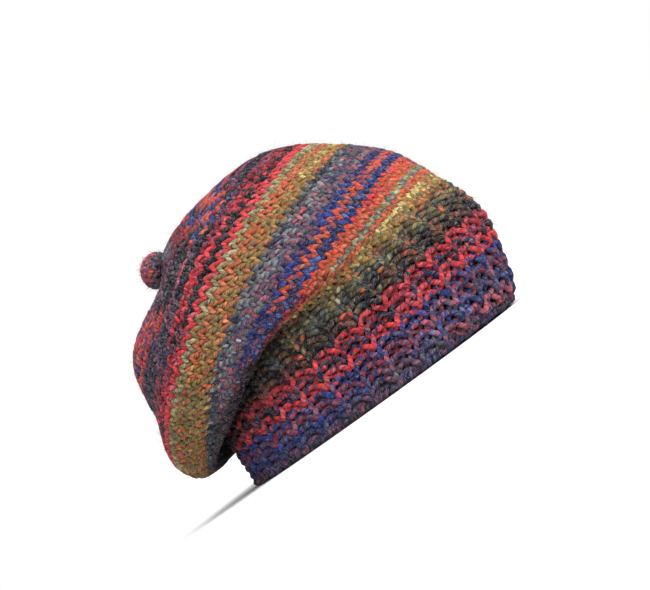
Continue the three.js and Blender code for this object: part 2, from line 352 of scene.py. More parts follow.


# The stripes along the yarn: the round and part of its turn that each starts at, and the colours
# that the first and the second ply take by chance. A colour named twice shows twice as often.
# Some sections round the back, next to the crown's fold over the band, hold painted shade.
BAND_STRIPES = (
    (0.0, ("charcoal", "slate", "purple"), ("charcoal", "slate", "mauve")),
    (1.0, ("pink", "mauve", "pink"), ("mauve", "purple", "pink")),
    (1.13, ("slate", "mauve", "grey"), ("charcoal", "mauve", "slate")),
    (1.27, ("blue", "mauve", "slate"), ("purple", "slate", "blue")),
    (2.0, ("blue", "light_blue", "mauve"), ("blue", "navy", "slate")),
    (2.13, ("blue", "mauve", "pink"), ("slate", "purple", "mauve", "light_blue")),
    (2.22, ("blue", "blue", "light_blue"), ("blue", "navy", "purple")),
    (3.0, ("crimson", "mauve", "pink"), ("mauve", "purple", "slate")),
    (4.0, ("blue", "navy", "blue", "mauve"), ("blue", "blue", "purple")),
    (5.0, ("coral", "coral", "coral", "pink"), ("coral", "coral", "coral")),
    (6.0, ("navy", "charcoal", "mauve"), ("charcoal", "crimson", "navy")),
    (7.0, ("coral", "coral", "coral"), ("coral", "crimson", "coral", "crimson")),
    (8.0, ("black", "charcoal", "grey", "brown"), ("black", "brown", "charcoal")),
    # From 8.3 to 8.7 and from 9.3 to 9.7, round the back under the crown's fold, the dark red, brown and
    # black are painted shade.
    (8.3, ("dark_red", "brown", "crimson"), ("black", "dark_red", "brown")),
    (8.7, ("black", "charcoal", "grey", "brown"), ("black", "brown", "charcoal")),
    (9.0, ("black", "orange_red", "brown", "olive"), ("brown", "black", "charcoal", "moss")),
    (9.3, ("black", "brown", "black"), ("brown", "black", "moss")),
    (9.7, ("black", "orange_red", "brown", "olive"), ("brown", "black", "charcoal", "moss")),
    (10.0, ("moss", "black", "orange", "brown"), ("charcoal", "moss", "brown")),
    (10.16, ("moss", "black", "grey", "orange"), ("charcoal", "moss", "black")),
    (11.0, ("moss", "olive", "brown", "cream"), ("olive", "charcoal", "moss")),
    (11.16, ("moss", "cream", "moss", "grey"), ("olive", "moss", "charcoal")),
    (12.0, ("olive", "orange", "brown", "gold"), ("olive", "brown", "moss")),
    (12.16, ("cream", "moss", "olive", "moss"), ("moss", "olive", "grey")),
    (13.0, ("gold", "orange", "gold"), ("olive", "gold", "orange", "brown")),
    (13.2, ("olive", "gold", "moss"), ("olive", "brown", "dark_red")),
)
CROWN_STRIPES = (
    (20.0, ("gold", "olive", "yellow"), ("olive", "orange", "gold")),
    (21.04, ("yellow", "yellow", "cream"), ("yellow", "yellow", "gold")),
    (21.14, ("gold", "orange", "yellow"), ("olive", "orange", "gold")),
    (22.0, ("orange_red", "orange", "orange"), ("orange", "orange", "orange_red")),
    (23.0, ("cream", "grey", "cream"), ("grey", "olive", "cream")),
    (23.19, ("orange_red", "brown", "orange"), ("brown", "orange", "dark_red")),
    (23.81, ("cream", "grey", "cream"), ("grey", "olive", "cream")),
    (24.0, ("orange_red", "orange", "orange_red"), ("orange_red", "orange", "orange")),
    (24.22, ("crimson", "orange_red", "crimson"), ("dark_red", "crimson")),
    (25.0, ("orange_red", "orange", "orange_red"), ("orange_red", "orange_red", "coral")),
    # The sections from 25.22 to 25.73, 26.3 to 26.7 and 27.3 to 27.7 lie round the back next to the fold;
    # their darker colours are painted shade there.
    (25.22, ("navy", "crimson", "mauve"), ("mauve", "navy", "crimson")),
    (25.73, ("orange_red", "orange_red", "coral"), ("orange_red", "crimson", "mauve")),
    (26.0, ("blue", "blue", "navy"), ("blue", "light_blue", "navy")),
    (26.3, ("navy", "black", "navy"), ("dark_red", "navy", "black")),
    (26.7, ("blue", "blue", "navy"), ("blue", "light_blue", "navy")),
    (27.0, ("orange_red", "orange", "mauve"), ("orange_red", "mauve", "orange_red")),
    (27.23, ("orange_red", "blue", "mauve"), ("navy", "mauve", "blue")),
    (27.3, ("mauve", "pink", "charcoal"), ("mauve", "purple", "black")),
    (27.7, ("orange_red", "orange", "mauve"), ("orange_red", "mauve", "orange_red")),
    (28.0, ("blue", "navy", "blue"), ("navy", "blue", "blue", "mauve")),
    (28.3, ("pink", "grey", "mauve"), ("purple", "slate", "charcoal")),
    (28.7, ("blue", "navy", "blue"), ("navy", "blue", "blue", "mauve")),
    (29.0, ("mauve", "pink", "grey"), ("mauve", "slate", "grey")),
    (30.0, ("grey", "mauve", "slate"), ("mauve", "slate", "grey", "charcoal")),
    (30.12, ("light_grey", "pink", "grey", "mauve"), ("grey", "mauve", "slate")),
    (31.0, ("grey", "pink", "mauve"), ("grey", "light_grey", "charcoal", "slate")),
    (31.12, ("light_grey", "pink", "grey"), ("grey", "slate", "light_grey", "mauve")),
    (32.0, ("charcoal", "grey", "slate", "grey"), ("grey", "charcoal", "moss")),
    (32.14, ("grey", "light_grey", "slate"), ("grey", "charcoal", "grey")),
    (33.0, ("gold", "olive", "orange"), ("olive", "gold", "orange")),
    (34.0, ("yellow", "gold", "gold"), ("gold", "yellow", "olive")),
    (34.1, ("gold", "orange", "gold"), ("gold", "olive", "gold")),
    (34.3, ("gold", "olive", "olive", "orange"), ("olive", "gold", "olive")),
    (34.7, ("gold", "orange", "gold"), ("gold", "olive", "gold")),
    (35.0, ("orange", "orange_red", "orange"), ("orange", "gold", "orange")),
    (35.3, ("orange", "gold", "olive"), ("gold", "olive", "orange_red")),
    (35.7, ("orange", "orange_red", "orange"), ("orange", "gold", "orange")),
    (36.0, ("cream", "olive", "cream"), ("cream", "gold", "olive")),
    (37.0, ("coral",), ("coral", "coral", "coral", "pink")),
)

# Past the widest part the slack gathers into folds, and each side shows its own stripes.
TIP_ROW = 38
TIP_FRONT_STRIPES = (
    (38.0, ("black", "black", "coral"), ("black", "charcoal", "crimson")),
    (39.0, ("crimson", "coral", "dark_red"), ("crimson", "coral", "black")),
    (40.0, ("crimson", "dark_red", "mauve"), ("crimson", "mauve")),
    (41.0, ("black", "charcoal", "black"), ("black", "charcoal", "slate")),
    (42.0, ("black", "charcoal", "mauve"), ("black", "purple")),
    (43.0, ("mauve", "crimson", "mauve"), ("mauve", "purple", "crimson")),
    (44.0, ("black", "charcoal", "grey"), ("charcoal", "black", "mauve")),
    (45.0, ("orange_red", "coral", "orange_red"), ("orange_red", "mauve", "crimson")),
    (46.5, ("blue", "blue", "navy"), ("blue", "purple", "blue")),
    (48.0, ("orange_red", "orange", "orange_red"), ("orange_red", "pink")),
    (49.5, ("crimson", "dark_red", "mauve"), ("crimson", "mauve")),
    (50.3, ("charcoal", "mauve", "black"), ("charcoal", "purple")),
    (51.2, ("blue", "blue", "light_blue"), ("blue", "navy", "blue")),
    (52.4, ("orange_red", "crimson", "orange_red"), ("crimson", "orange_red")),
    (53.4, ("dark_red", "crimson", "charcoal"), ("crimson", "mauve", "dark_red")),
    (57.0, ("charcoal", "mauve"), ("charcoal", "grey")),
    (58.0, ("grey", "light_grey", "mauve"), ("grey", "mauve")),
)
TIP_SIDE_STRIPES = (
    (38.0, ("black", "black", "charcoal", "grey"), ("black", "charcoal", "black")),
    (39.0, ("coral", "coral", "crimson"), ("coral", "crimson")),
    (40.0, ("coral", "coral", "crimson"), ("coral", "crimson", "coral")),
    (41.0, ("black", "black", "charcoal", "grey"), ("black", "charcoal")),
    (42.0, ("black", "charcoal", "grey"), ("black", "navy", "mauve")),
    (43.0, ("mauve", "pink", "mauve"), ("mauve", "purple", "pink")),
    (44.0, ("mauve", "charcoal", "mauve"), ("mauve", "black")),
    (45.0, ("black", "charcoal", "grey"), ("charcoal", "black", "black")),
    (48.0, ("charcoal", "mauve", "dark_red"), ("black", "mauve", "charcoal")),
    (50.0, ("mauve", "purple", "charcoal"), ("charcoal", "mauve", "dark_red")),
)
TIP_BACK_STRIPES = (
    (38.0, ("crimson", "dark_red", "coral"), ("crimson", "mauve", "charcoal")),
    (39.0, ("charcoal", "mauve", "slate"), ("black", "mauve", "charcoal")),
    (43.0, ("charcoal", "slate", "grey"), ("charcoal", "black", "mauve")),
    (45.0, ("mauve", "purple", "crimson"), ("mauve", "charcoal")),
    (46.0, ("orange_red", "orange", "orange_red"), ("orange_red", "crimson")),
    (47.5, ("purple", "coral", "mauve"), ("mauve", "orange_red", "blue")),
    (48.5, ("orange_red", "orange", "crimson"), ("orange_red", "mauve")),
    (50.0, ("crimson", "mauve", "pink"), ("mauve", "crimson", "purple")),
    (51.0, ("orange_red", "coral", "orange_red"), ("orange_red", "crimson")),
    (52.5, ("blue", "purple", "blue"), ("blue", "mauve", "purple")),
    (53.5, ("crimson", "orange_red", "crimson"), ("crimson", "mauve")),
    (55.0, ("mauve", "crimson", "charcoal"), ("mauve", "purple")),
    (57.0, ("grey", "mauve", "charcoal"), ("mauve", "grey")),
)
KNOB_STRIPES = (
    (0.0, ("grey", "mauve", "grey"), ("grey", "mauve", "slate")),
    (1.0, ("orange_red", "mauve", "grey", "mauve"), ("pink", "mauve", "grey")),
    (2.0, ("pink", "orange_red", "mauve", "pink"), ("mauve", "pink", "purple")),
    (3.0, ("pink", "mauve", "pink"), ("mauve", "pink", "grey")),
)
STRIPES = (
    BAND_STRIPES + CROWN_STRIPES + TIP_FRONT_STRIPES + TIP_SIDE_STRIPES + TIP_BACK_STRIPES + KNOB_STRIPES
)
PLY_COLUMNS = (1, 2)
KNOTS_PER_STITCH = 2.2
SHADE_SPREAD = 0.2

# Where the three tables meet near the tip, in degrees from the front, and how far the front's
# stripes climb and the back's drop or rise there, in rounds.
TIP_WOBBLE = 3
TIP_FRONT_END = 60
TIP_SIDE_END = 95
CLIMB_ROUNDS = 9.5
CLIMB_DEGREES = (20, 60)
CLIMB_POWER = 1.6
CLIMB_START_ROWS = (40, 43)
CLIMB_LOSS = 0.45
CLIMB_LOSS_ROWS = (44, 52)
DROP_PER_DEGREE = 0.2
DROP_DEGREES = (105, 125)
DROP_END_ROWS = (42, 47)
RISE_ROUNDS = 1.6
RISE_DEGREES = (98, 112)
RISE_START_ROWS = (42, 45)

# The painted shadow at the crown's fold over the band. Its edges lie at courses that change
# with the degrees from the front, and each fades over a width in courses.
FOLD_DARKNESS = 0.8
BAND_EDGE_DEGREES = 96
BAND_EDGE_SLOPE = 0.22
BAND_EDGE_WIDTH = (-1.5, 2.0)
CROWN_EDGE_COURSE = 24.5
CROWN_EDGE_DEGREES = 100
CROWN_EDGE_SLOPE = 0.267
CROWN_EDGE_HIGHEST = 32.5
CROWN_EDGE_WIDTH = (-1.5, 1.5)
CROWN_SHADE_DEGREES = (92, 104)


def folded(turn):
    """The turn from the front over the nearer side, from 0 to half a turn."""
    return np.abs(np.mod(turn + math.pi, TAU) - math.pi)


def stripe_at(table, place):
    """Numbers in STRIPES of the table's stripes that the places fall in."""
    starts = np.array([stripe[0] for stripe in table])
    i = np.clip(np.searchsorted(starts, place, side="right") - 1, 0, len(table) - 1)
    return STRIPES.index(table[0]) + i


def spiral(row, turn):
    """The round and the part of its turn, as one number that the stripes are placed by."""
    return row + np.mod(turn, TAU) / TAU


def band_stripes(row, turn):
    return stripe_at(BAND_STRIPES, spiral(row, turn))


def knob_stripes(row, turn):
    return stripe_at(KNOB_STRIPES, spiral(row, turn))


def crown_stripes(row, turn):
    """Like the others, but near the tip the front, the sides and the back have their own."""
    if row < TIP_ROW:
        return stripe_at(CROWN_STRIPES, spiral(row, turn))
    degrees = np.degrees(folded(turn)) + random_numbers.normal(0, TIP_WOBBLE)
    climb_start, climb_end = CLIMB_DEGREES
    climb_part = np.clip((degrees - climb_start) / (climb_end - climb_start), 0, 1)
    climb = CLIMB_ROUNDS * climb_part ** CLIMB_POWER * smooth_step(*CLIMB_START_ROWS, row)
    climb = climb * (1 - CLIMB_LOSS * smooth_step(*CLIMB_LOSS_ROWS, row))
    drop_start, drop_end = DROP_DEGREES
    drop = DROP_PER_DEGREE * np.clip(degrees - drop_start, 0, drop_end - drop_start)
    drop = drop * (1 - smooth_step(*DROP_END_ROWS, row))
    rise = RISE_ROUNDS * smooth_step(*RISE_START_ROWS, row) * (1 - smooth_step(*RISE_DEGREES, degrees))
    front = stripe_at(TIP_FRONT_STRIPES, row + climb)
    side = stripe_at(TIP_SIDE_STRIPES, row)
    back = stripe_at(TIP_BACK_STRIPES, row - (drop - rise))
    return np.where(degrees > TIP_SIDE_END, back, np.where(degrees < TIP_FRONT_END, front, side))


def fold_shade(course, turn):
    """How much light the wool keeps on both sides of the crown's fold over the band, up to 1."""
    degrees = np.degrees(folded(turn))
    band_edge = JOIN_COURSE - BAND_EDGE_SLOPE * (degrees - BAND_EDGE_DEGREES)
    crown_edge = CROWN_EDGE_COURSE + CROWN_EDGE_SLOPE * (degrees - CROWN_EDGE_DEGREES)
    crown_edge = np.minimum(crown_edge, CROWN_EDGE_HIGHEST)
    band_shade = smooth_step(*BAND_EDGE_WIDTH, course - band_edge)
    crown_shade = smooth_step(*CROWN_SHADE_DEGREES, degrees)
    crown_shade = crown_shade * smooth_step(*CROWN_EDGE_WIDTH, crown_edge - course)
    return 1 - FOLD_DARKNESS * np.where(course < JOIN_COURSE, band_shade, crown_shade)


def ply_colours(numbers, stitches, light=1.0):
    """The two plies' colours at each place along a round, from the stripe that it is in."""
    length = len(numbers)
    knots = max(FEWEST_KNOTS, round(stitches * KNOTS_PER_STITCH))
    knot = np.floor(np.arange(length) * knots / length).astype(int)
    colours = []
    for ply in PLY_COLUMNS:
        luck = random_numbers.random(knots)[knot]
        shade = np.exp(random_numbers.normal(0, SHADE_SPREAD, knots))[knot]
        colour = np.zeros((length, 3))
        for i in np.unique(numbers):
            values = np.array([linear(name) for name in STRIPES[i][ply]])
            here = numbers == i
            colour[here] = values[(luck[here] * len(values)).astype(int)]
        colour *= (shade * light)[:, None]
        colours.append((np.roll(colour, 1, axis=0) + 2 * colour + np.roll(colour, -1, axis=0)) / 4)
    return colours


def mesh_object(name, points, faces, material, maps, colours):
    """A mesh of quads or triangles, from points in millimetres, with its UV maps and colours."""
    count, sides = faces.shape
    mesh = bpy.data.meshes.new(name)
    mesh.vertices.add(len(points))
    mesh.vertices.foreach_set("co", (points * MM).astype(np.float32).ravel())
    mesh.loops.add(count * sides)
    mesh.loops.foreach_set("vertex_index", faces.astype(np.int32).ravel())
    mesh.polygons.add(count)
    mesh.polygons.foreach_set("loop_start", np.arange(count, dtype=np.int32) * sides)
    mesh.update(calc_edges=True)
    mesh.polygons.foreach_set("use_smooth", np.ones(count, dtype=bool))
    for label, values in maps.items():
        layer = mesh.uv_layers.new(name=label)
        layer.data.foreach_set("uv", values.astype(np.float32).ravel())
    for label, values in colours.items():
        whole = np.ones((len(values), 4), dtype=np.float32)
        whole[:, :3] = values
        attribute = mesh.attributes.new(label, "FLOAT_COLOR", "POINT")
        attribute.data.foreach_set("color", whole.ravel())
    mesh.validate()
    mesh.materials.append(material)
    piece = bpy.data.objects.new(name, mesh)
    bpy.context.scene.collection.objects.link(piece)
    return piece


def quad_corners(u_low, u_high, v_low, v_high):
    """The four UV corners of each quad, in the order that the yarns' and webs' faces use."""
    corners = ((u_low, v_low), (u_high, v_low), (u_high, v_high), (u_low, v_high))
    return np.stack([np.stack(np.broadcast_arrays(u, v), -1) for u, v in corners], axis=-2)


class YarnMesh:
    """Gathers swept yarns into one mesh, and remembers where fibres may stand out from them."""

    def __init__(self):
        self.points = []
        self.faces = []
        self.colours = {"ply_a": [], "ply_b": []}
        self.along = []
        self.roots = []
        self.count = 0
        self.length = 0.0

    def add(self, centres, outward, radius, colour_a, colour_b):
        """A closed yarn along a closed line of centres."""
        length = len(centres)
        tangent = unit(np.roll(centres, -1, axis=0) - np.roll(centres, 1, axis=0))
        normal = unit(outward - tangent * (outward * tangent).sum(1, keepdims=True))
        binormal = np.cross(tangent, normal)
        angles = math.pi + np.arange(YARN_SIDES) * TAU / YARN_SIDES
        rings = centres[:, None, :] + radius[:, None, None] * (
            np.cos(angles)[None, :, None] * normal[:, None, :]
            + np.sin(angles)[None, :, None] * binormal[:, None, :]
        )
        self.points.append(rings.reshape(-1, 3))
        i = np.arange(length)[:, None]
        j = np.arange(YARN_SIDES)[None, :]
        i_next = (i + 1) % length * YARN_SIDES
        j_next = (j + 1) % YARN_SIDES
        quads = np.stack((
            i * YARN_SIDES + j, i_next + j, i_next + j_next, i * YARN_SIDES + j_next,
        ), axis=-1).reshape(-1, 4)
        self.faces.append(quads + self.count)
        self.colours["ply_a"].append(np.repeat(colour_a, YARN_SIDES, axis=0))
        self.colours["ply_b"].append(np.repeat(colour_b, YARN_SIDES, axis=0))
        steps = np.linalg.norm(np.roll(centres, -1, axis=0) - centres, axis=1)
        place = np.concatenate(([0], np.cumsum(steps)))
        corners = quad_corners(
            place[:-1, None], place[1:, None], j / YARN_SIDES, (j + 1) / YARN_SIDES,
        )
        self.along.append(corners.reshape(-1, 2))
        self.roots.append((centres, normal, tangent, radius, colour_a))
        self.count += length * YARN_SIDES
        self.length += steps.sum()

    def atlas(self):
        """Every ring of every yarn in turn, cut into strips that fill a square."""
        rings = self.count // YARN_SIDES
        strips = max(1, round(math.sqrt(self.length / (TAU * YARN_RADIUS))))
        in_strip = math.ceil(rings / strips)
        ring = np.repeat(np.arange(rings), YARN_SIDES)
        side = np.tile(np.arange(YARN_SIDES), rings)
        strip = ring // in_strip
        place = ring % in_strip
        margin = 0.04
        low = margin + (1 - 2 * margin) * side / YARN_SIDES
        high = margin + (1 - 2 * margin) * (side + 1) / YARN_SIDES
        return quad_corners(
            place / in_strip, (place + 1) / in_strip, (strip + low) / strips, (strip + high) / strips,
        ).reshape(-1, 2)

    def build(self, name, material):
        return mesh_object(
            name, np.concatenate(self.points), np.concatenate(self.faces), material,
            {"Yarn": np.concatenate(self.along), "OFBake": self.atlas()},
            {label: np.concatenate(values) for label, values in self.colours.items()},
        )


def math_node(tree, operation, first, second=None):
    node = tree.nodes.new("ShaderNodeMath")
    node.operation = operation
    for socket, value in zip(node.inputs, (first, second)):
        if isinstance(value, (int, float)):
            socket.default_value = value
        elif value is not None:
            tree.links.new(value, socket)
    return node.outputs["Value"]


def map_range(tree, value, from_low, from_high, to_low=0.0, to_high=1.0):
    node = tree.nodes.new("ShaderNodeMapRange")
    node.inputs["From Min"].default_value = from_low
    node.inputs["From Max"].default_value = from_high
    node.inputs["To Min"].default_value = to_low
    node.inputs["To Max"].default_value = to_high
    tree.links.new(value, node.inputs["Value"])
    return node.outputs["Result"]


# The factor and colour sockets of a mix node, whose labels are shared with its other sockets.
MIX_INPUTS = (0, 6, 7)
MIX_OUTPUT = 2


def mix_colours(tree, blend, factor, first, second):
    node = tree.nodes.new("ShaderNodeMix")
    node.data_type = "RGBA"
    node.blend_type = blend
    for number, value in zip(MIX_INPUTS, (factor, first, second)):
        if isinstance(value, (int, float, tuple)):
            node.inputs[number].default_value = value
        else:
            tree.links.new(value, node.inputs[number])
    return node.outputs[MIX_OUTPUT]


def noise(tree, vector, scale, detail):
    node = tree.nodes.new("ShaderNodeTexNoise")
    node.inputs["Scale"].default_value = scale
    node.inputs["Detail"].default_value = detail
    tree.links.new(vector, node.inputs["Vector"])
    return node.outputs["Fac"]


def colour_of(tree, label):
    node = tree.nodes.new("ShaderNodeAttribute")
    node.attribute_name = label
    return node.outputs["Color"]


# How the wool's materials look. The plies' edge is ragged, and pale streaks along the yarn are
# partly pale hairs and partly painted glints.
FIBRE_STRETCH = 0.12
NOISE_MIDDLE = 0.5
PLY_RAGGEDNESS = 6.0
LOBE_POWER = 0.6
FIBRE_BUMP = 1.6
PALE_HAIR_AND_GLINT = (0.33, 0.32, 0.34, 1.0)
FIBRE_GREY = (0.12, 0.12, 0.12, 1.0)


def new_wool(name, roughness):
    """A dull material for wool, with its node tree and its shader."""
    material = bpy.data.materials.new(name)
    material.use_nodes = True
    shader = material.node_tree.nodes["Principled BSDF"]
    shader.inputs["Roughness"].default_value = roughness
    shader.inputs["Specular IOR Level"].default_value = 0.06
    shader.inputs["Sheen Weight"].default_value = 0.04
    shader.inputs["Sheen Roughness"].default_value = 0.5
    return material, material.node_tree, shader


def yarn_material():
    """Marled wool: two plies wind round the yarn, with fine fibres along them."""
    material, tree, shader = new_wool("marled_wool", roughness=0.85)
    uv = tree.nodes.new("ShaderNodeUVMap")
    uv.uv_map = "Yarn"
    split = tree.nodes.new("ShaderNodeSeparateXYZ")
    tree.links.new(uv.outputs["UV"], split.inputs["Vector"])
    along = split.outputs["X"]
    turns = math_node(tree, "ADD", math_node(tree, "DIVIDE", along, PLY_PITCH), split.outputs["Y"])
    angle = math_node(tree, "MULTIPLY", turns, TAU)
    wave = math_node(tree, "SINE", angle)
    ridge = math_node(tree, "ABSOLUTE", wave)

    # Fibres run along the plies: noise on the yarn's own round face, drawn out lengthways.
    fibre_place = tree.nodes.new("ShaderNodeCombineXYZ")
    tree.links.new(math_node(tree, "MULTIPLY", along, FIBRE_STRETCH), fibre_place.inputs["X"])
    tree.links.new(math_node(tree, "COSINE", angle), fibre_place.inputs["Y"])
    tree.links.new(wave, fibre_place.inputs["Z"])
    fibres = noise(tree, fibre_place.outputs["Vector"], scale=2.6, detail=3.0)
    hairs = noise(tree, fibre_place.outputs["Vector"], scale=4.6, detail=2.0)

    uneven = math_node(tree, "SUBTRACT", fibres, NOISE_MIDDLE)
    ragged = math_node(tree, "MULTIPLY", uneven, PLY_RAGGEDNESS)
    share = map_range(tree, math_node(tree, "ADD", wave, ragged), from_low=-0.7, from_high=0.7)
    plies = mix_colours(tree, "MIX", share, colour_of(tree, "ply_a"), colour_of(tree, "ply_b"))
    streaks = map_range(tree, fibres, from_low=0.36, from_high=0.62, to_low=0.35, to_high=1.6)
    # Darker where the two plies meet: painted shade in the groove between them.
    painted_groove_shade = map_range(tree, ridge, from_low=0.0, from_high=0.5, to_low=0.48, to_high=1.0)
    shade = math_node(tree, "MULTIPLY", streaks, painted_groove_shade)
    shaded = mix_colours(tree, "MULTIPLY", 1.0, plies, shade)
    # Pale streaks along the fibres: partly pale hairs, partly painted glints.
    pale = map_range(tree, hairs, from_low=0.6, from_high=0.66, to_low=0.0, to_high=0.6)
    colour = mix_colours(tree, "MIX", pale, shaded, PALE_HAIR_AND_GLINT)
    tree.links.new(colour, shader.inputs["Base Color"])

    lobes = math_node(tree, "POWER", ridge, LOBE_POWER)
    height = math_node(tree, "ADD", lobes, math_node(tree, "MULTIPLY", fibres, FIBRE_BUMP))
    bump = tree.nodes.new("ShaderNodeBump")
    bump.inputs["Strength"].default_value = 0.9
    bump.inputs["Distance"].default_value = 0.5 * MM
    tree.links.new(height, bump.inputs["Height"])
    tree.links.new(bump.outputs["Normal"], shader.inputs["Normal"])
    return material


def fibre_material():
    """The fine hairs that stand out of the yarn, in its own colour with some grey."""
    material, tree, shader = new_wool("loose_fibres", roughness=0.9)
    place = tree.nodes.new("ShaderNodeTexCoord")
    patches = noise(tree, place.outputs["Object"], scale=300.0, detail=1.0)
    share = map_range(tree, patches, from_low=0.45, from_high=0.65, to_low=0.05, to_high=0.3)
    colour = mix_colours(tree, "MIX", share, colour_of(tree, "ply_a"), FIBRE_GREY)
    tree.links.new(colour, shader.inputs["Base Color"])
    return material


def shade_backing_material():
    """A dark sheet that closes the gaps between the loops, its darkness painted shade there."""
    material, tree, shader = new_wool("painted_shade_backing", roughness=0.95)
    place = tree.nodes.new("ShaderNodeTexCoord")
    tangle = noise(tree, place.outputs["Object"], scale=900.0, detail=4.0)
    shade = map_range(tree, tangle, from_low=0.35, from_high=0.65, to_low=0.45, to_high=1.2)
    colour = mix_colours(tree, "MULTIPLY", 1.0, colour_of(tree, "ply_a"), shade)
    tree.links.new(colour, shader.inputs["Base Color"])
    bump = tree.nodes.new("ShaderNodeBump")
    bump.inputs["Strength"].default_value = 0.8
    bump.inputs["Distance"].default_value = 0.4 * MM
    tree.links.new(tangle, bump.inputs["Height"])
    tree.links.new(bump.outputs["Normal"], shader.inputs["Normal"])
    return material


def loops(stitches, shear=0.0):
    """One round of loops: place in stitches, height in rounds, and an in-and-out wave up to 1."""
    length = stitches * LOOP_SAMPLES
    t = np.arange(length) * TAU / LOOP_SAMPLES
    across = t / TAU + LOOP_LEAN * np.sin(2 * t) - shear * np.cos(t)
    across = across + wander(length, stitches, ACROSS_WANDER)
    height = -LOOP_HEIGHT * np.cos(t) + wander(length, stitches, HEIGHT_WANDER)
    return across, height, -np.cos(2 * t)


def lay_yarn(mesh, point_at, course, turn, rise, thickness, colours):
    """Adds one round of yarn, off a face by its rise, and never lower than the floor."""
    length = len(course)
    outward = outward_of(point_at, course, turn)
    centres = point_at(course, turn) + outward * rise[:, None]
    knots = max(FEWEST_KNOTS, length // SAMPLES_PER_THICKNESS_KNOT)
    radius = thickness * (1 + wander(length, knots, THICKNESS_WANDER))
    centres[:, 2] = np.maximum(centres[:, 2], radius)
    mesh.add(centres, outward, radius, *colours)


def band_course(row, turn):
    """The course that a round of the band lies at."""
    lift = FRONT_LIFT * (1 - smooth_step(*FRONT_LIFT_TURNS, folded(turn))) - BACK_DROP
    part = smooth_step(*LIFT_START_ROWS, row) * (1 - smooth_step(*LIFT_END_ROWS, row))
    return BAND_FIRST_COURSE + BAND_ROW_PITCH * row + lift * part


def band_round(mesh, row):
    """One round of ribbing, whose knit stitches stand out and whose purl stitches sink in."""
    stitches = 2 * RIB_COUNT
    across, height, wave = loops(stitches, BAND_SHEAR)
    across = across - 0.5
    length = len(across)
    rib = np.cos(across * math.pi)
    height = height * (RIB_LOOP_HEIGHT + KNIT_LOOP_EXTRA * rib)
    turn = across * TAU / stitches + RIB_PHASE
    course = band_course(row + height, turn)
    course = np.clip(course, BAND_LOWEST_COURSE, JOIN_COURSE + BAND_TUCK)
    turn = turn + RIB_LEAN * (course - RIB_LEAN_MIDDLE)
    side = np.clip(RIB_SHARPNESS * rib, -1, 1)
    rise = RIB_LOOP_RISE * wave * side + RIB_RISE * side - RIB_SINK - MESH_DEPTH
    rise = rise + wander(length, stitches, BAND_WANDER)
    colours = ply_colours(band_stripes(row, turn), stitches, fold_shade(course, turn))
    lay_yarn(mesh, outer_point, course, turn, rise, BAND_YARN_RADIUS, colours)


def hem_edge(mesh):
    """The rope-like edge that the band was cast on with."""
    length = HEM_COILS * HEM_COIL_SAMPLES
    turn = np.arange(length) * TAU / length
    phase = np.arange(length) * TAU / HEM_COIL_SAMPLES
    course = HEM_COURSE + HEM_COIL_RADIUS * np.cos(phase) / HEM_COIL_PER_COURSE
    rise = -MESH_DEPTH + HEM_RISE + HEM_COIL_RADIUS * np.sin(phase)
    colours = ply_colours(stripe_at(BAND_STRIPES, np.zeros(length)), HEM_COILS // 2)
    lay_yarn(mesh, outer_point, course, turn, rise, YARN_RADIUS * HEM_YARN_SHARE, colours)


def stitches_in(row):
    """Stitches in a round of the crown, taken away in sevens toward the tip."""
    if row < FIRST_DECREASE:
        return CROWN_STITCHES
    count = round(perimeter_at(outer_point, row + 0.5) / (CROWN_SECTIONS * CROWN_STITCH_WIDTH))
    return CROWN_SECTIONS * max(1, min(count, CROWN_STITCHES // CROWN_SECTIONS))


def crown_round(mesh, row):
    """One round of plain knitting, with its stitches crowded toward the front and the back."""
    stitches = stitches_in(row)
    across, height, wave = loops(stitches)
    turn = across * TAU / stitches
    turn = turn - CROWN_CROWDING * np.sin(2 * turn)
    course = np.clip(row + CROWN_ROW_MIDDLE + height, JOIN_COURSE - CROWN_TUCK, LAST_COURSE)
    rise = LOOP_RISE * wave - MESH_DEPTH + wander(len(across), stitches, CROWN_WANDER)
    colours = ply_colours(crown_stripes(row, turn), stitches, fold_shade(course, turn))
    lay_yarn(mesh, outer_point, course, turn, rise, YARN_RADIUS, colours)


def knob_round(mesh, row):
    """One round of the knob, shifted a little round from the one below."""
    stitches = round(perimeter_at(knob_point, row + 0.5) / KNOB_STITCH_WIDTH)
    stitches = max(KNOB_FEWEST_STITCHES, stitches)
    across, height, wave = loops(stitches)
    turn = (across + KNOB_ROW_SHIFT * row) * TAU / stitches
    course = np.clip(row + 0.5 + height, 0, KNOB_ROWS - KNOB_TOP_GAP)
    rise = LOOP_RISE * KNOB_LOOP_SHARE * wave - MESH_DEPTH + KNOB_YARN_RISE
    colours = ply_colours(knob_stripes(row, turn), stitches)
    lay_yarn(mesh, knob_point, course, turn, rise, YARN_RADIUS * KNOB_YARN_SHARE, colours)


def band_web_stripes(course, turn):
    return band_stripes((course - BAND_FIRST_COURSE) / BAND_ROW_PITCH, turn)


def crown_web_stripes(course, turn):
    return crown_stripes(course - CROWN_ROW_MIDDLE, turn)


